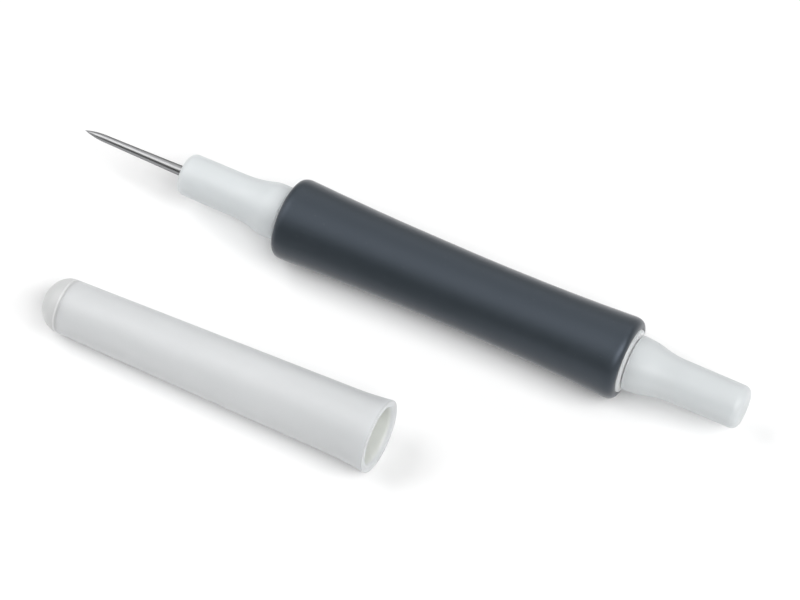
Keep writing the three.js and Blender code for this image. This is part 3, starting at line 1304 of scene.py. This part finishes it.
@dataclass(frozen=True)
class Studio:
    """The pale floor, the white surroundings, the lamps and the dark band that metal mirrors.

    Its sizes are in metres.
    """

    floor_size: float = 8.0
    floor_drop: float = 0.00002
    floor_albedo: float = 0.88
    floor_gain: float = 1.0
    white: float = 1.0
    world_strength: float = 0.02
    sky: Colour = (0.97, 0.985, 1.0)
    felt: Colour = (0.03, 0.03, 0.03)
    band_sides: int = 64
    band_radius: float = 1.6
    band_low: float = 0.08
    band_high: float = 1.55
    lamps: tuple[SoftLamp, ...] = (
        SoftLamp("left_low", -90.0, 20.0, 1.0, (0.6, 0.4), 2.02),
        SoftLamp("front_left", -60.0, 32.0, 1.0, (0.5, 0.4), 2.22),
        SoftLamp("left_soft", -85.0, 55.0, 0.9, (0.7, 0.4), 2.89),
        SoftLamp("right_low", 90.0, 38.0, 0.9, (0.4, 0.4), 4.85),
        SoftLamp("right_high", 90.0, 58.0, 0.9, (0.4, 0.4), 2.68),
        SoftLamp("front_right", 45.0, 50.0, 1.1, (0.6, 0.6), 4.62),
        SoftLamp("back_fill", 180.0, 35.0, 1.3, (1.8, 0.7), 1.36),
    )

    def floor(self) -> None:
        """Lays a white floor that keeps the shadows, and looks a little whiter than it bounces."""
        corners = np.array([[-1.0, -1.0], [1.0, -1.0], [1.0, 1.0], [-1.0, 1.0]]) * self.floor_size / 2.0
        points = np.column_stack([corners, np.full(4, -self.floor_drop)])
        floor = put_mesh("studio_floor", points, np.arange(4), np.array([4]))
        material = bpy.data.materials.new("white_floor")
        material.use_nodes = True
        graph = Graph(material.node_tree, "ShaderNodeOutputMaterial")
        colours = [(*(tone,) * 3, 1.0) for tone in (self.floor_albedo, self.floor_gain)]
        carried = graph.node("ShaderNodeBsdfDiffuse", inputs={"Color": colours[0]})
        seen = graph.node("ShaderNodeBsdfDiffuse", inputs={"Color": colours[1]})
        graph.surface(graph.node("ShaderNodeMixShader", inputs={0: graph.shown(), 1: carried, 2: seen}))
        floor.data.materials.append(material)

    def surroundings(self) -> None:
        """A plain white world: full white to the eye, softer as light."""
        world = bpy.data.worlds.new("white_surroundings")
        bpy.context.scene.world = world
        world.use_nodes = True
        graph = Graph(world.node_tree, "ShaderNodeOutputWorld")
        soft = {"Color": (*self.sky, 1.0), "Strength": self.world_strength}
        white = {"Color": (1.0, 1.0, 1.0, 1.0), "Strength": self.white}
        dim = graph.node("ShaderNodeBackground", inputs=soft)
        full = graph.node("ShaderNodeBackground", inputs=white)
        graph.surface(graph.node("ShaderNodeMixShader", inputs={0: graph.shown(), 1: dim, 2: full}))

    def dark_band(self) -> None:
        """Stands a dark band round the set, which only reflections see, to give steel its dark edges."""
        count = self.band_sides
        index = np.arange(count)
        angles = index * (TURN / count)
        around = self.band_radius * np.stack([np.cos(angles), np.sin(angles)], axis=1)
        low = np.column_stack([around, np.full(count, self.band_low)])
        high = np.column_stack([around, np.full(count, self.band_high)])
        beside = np.roll(index, -1)
        quads = np.stack([index, index + count, beside + count, beside], axis=1)
        band = put_mesh("dark_band", np.concatenate([low, high]), quads.ravel(), np.full(count, 4))
        felt = Finish("dark_felt").finish(Base_Color=self.felt, Roughness=1.0)
        band.data.materials.append(felt)
        band.visible_camera = False
        band.visible_diffuse = False
        band.visible_transmission = False
        band.visible_shadow = False

    def build(self) -> None:
        """Sets up everything round the object."""
        self.floor()
        self.surroundings()
        self.dark_band()
        for lamp in self.lamps:
            lamp.hang()
        view = bpy.context.scene.view_settings
        view.view_transform = "Standard"


@dataclass(frozen=True)
class Camera:
    """The photograph's camera, found from the outlines: a long lens, looking steeply down.

    Its target, distance and sensor are in mm, its clipping distances in metres.
    """

    target: Triple = (0.073, 15.614, 0.0)
    azimuth: float = 27.07
    elevation: float = 56.57
    distance: float = 699.2
    focal_pixels: float = 3419.0
    sensor: float = 36.0
    clip: Pair = (0.01, 50.0)

    def build(self) -> None:
        """Makes the camera and makes it the scene's own."""
        data = bpy.data.cameras.new("photograph_camera")
        data.sensor_fit = "HORIZONTAL"
        data.sensor_width = self.sensor
        data.lens = self.focal_pixels * self.sensor / IMAGE_WIDTH
        data.clip_start, data.clip_end = self.clip
        camera = bpy.data.objects.new("photograph_camera", data)
        bpy.context.scene.collection.objects.link(camera)
        back = bearing(self.azimuth, self.elevation)
        camera.location = (Vector(self.target) + back * self.distance) * MM
        camera.rotation_euler = (-back).to_track_quat("-Z", "Y").to_euler()
        bpy.context.scene.camera = camera


def main() -> None:
    """Builds the studio, the camera and every piece."""
    logging.basicConfig(level=logging.INFO, format="%(name)s: %(message)s")
    Camera().build()
    Studio().build()
    finishes = Finishes()
    Pick().build(finishes)
    cap = Cap()
    cap.barrel(finishes)
    cap.end(finishes)
    bpy.context.view_layer.update()


if __name__ == "__main__":
    main()
